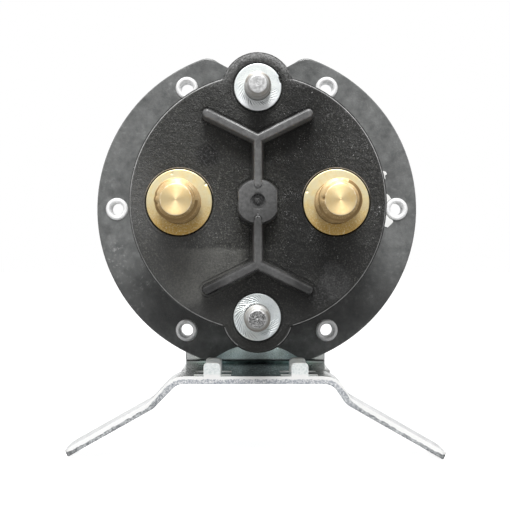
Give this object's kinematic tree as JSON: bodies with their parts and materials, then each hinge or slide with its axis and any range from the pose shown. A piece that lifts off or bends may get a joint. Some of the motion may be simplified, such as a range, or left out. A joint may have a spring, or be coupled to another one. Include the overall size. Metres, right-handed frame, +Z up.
{
  "type": "sealed pump motor relay",
  "caption": "Sealed solenoid relay with brass main studs, plated coil studs and a bent bracket whose splayed feet strap onto a round pump motor.",
  "frame": {"origin": "on the relay's axis, midway between the two main studs, in the plane of the brass collars where the cable lugs seat", "axes": "+Z up, with the bracket's leg and feet below; the relay's axis is Y and the terminals point along -Y; +X to the right seen from the terminals"},
  "size_m": [0.0714, 0.0862, 0.0789],
  "materials": {
    "black_moulding": "fine moulded texture",
    "seal_rubber": "matt",
    "zinc_plate": "bright zinc plate",
    "eyelet_metal": "bright rolled",
    "terminal_brass": "turned",
    "stud_steel": "zinc plated",
    "winding_copper": null,
    "insulation": "moulded",
    "inner_steel": "machined",
    "bobbin_nylon": "moulded"
  },
  "bodies": {
    "housing": {"terminal_cap": "black_moulding", "cap_gasket": "seal_rubber", "coil_can": "zinc_plate", "bracket": "zinc_plate", "eyelets": "eyelet_metal", "main_terminal_left": "terminal_brass", "main_terminal_right": "terminal_brass", "main_collars": "terminal_brass", "main_seals": "seal_rubber", "coil_stud_top": "stud_steel", "coil_stud_bottom": "stud_steel", "coil_washers": "stud_steel", "coil_seals": "seal_rubber", "coil_lead_top": "winding_copper", "coil_lead_bottom": "winding_copper", "return_spring": "inner_steel", "chamber_divider": "insulation", "front_flux_plate": "inner_steel", "rear_flux_plate": "inner_steel", "pole_core": "inner_steel", "guide_tube": "terminal_brass", "bobbin": "bobbin_nylon", "coil_winding": "winding_copper", "coil_wrap": "bobbin_nylon", "spring_washer": "inner_steel"},
    "plunger": {"plunger": "inner_steel", "plunger_shaft": "inner_steel", "spring_seat": "inner_steel", "shaft_clip": "inner_steel", "contact_spring": "inner_steel"},
    "bridge": {"contact_disc": "winding_copper", "insulator_front": "insulation", "insulator_rear": "insulation"}
  },
  "joints": [
    {"name": "plunger_slide", "type": "slide", "parent": "housing", "child": "plunger", "axis": [0, -1, 0], "range_m": [0, 0.003], "stiffness_N_per_m": 800, "springref_m": -0.006, "deforming": ["return_spring"]},
    {"name": "contact_overtravel", "type": "slide", "parent": "plunger", "child": "bridge", "axis": [0, 1, 0], "range_m": [0, 0.00078], "deforming": ["contact_spring"]}
  ],
  "couplings": [
    {"joint": "contact_overtravel", "follows": "plunger_slide", "ratio": 0.26}
  ]
}
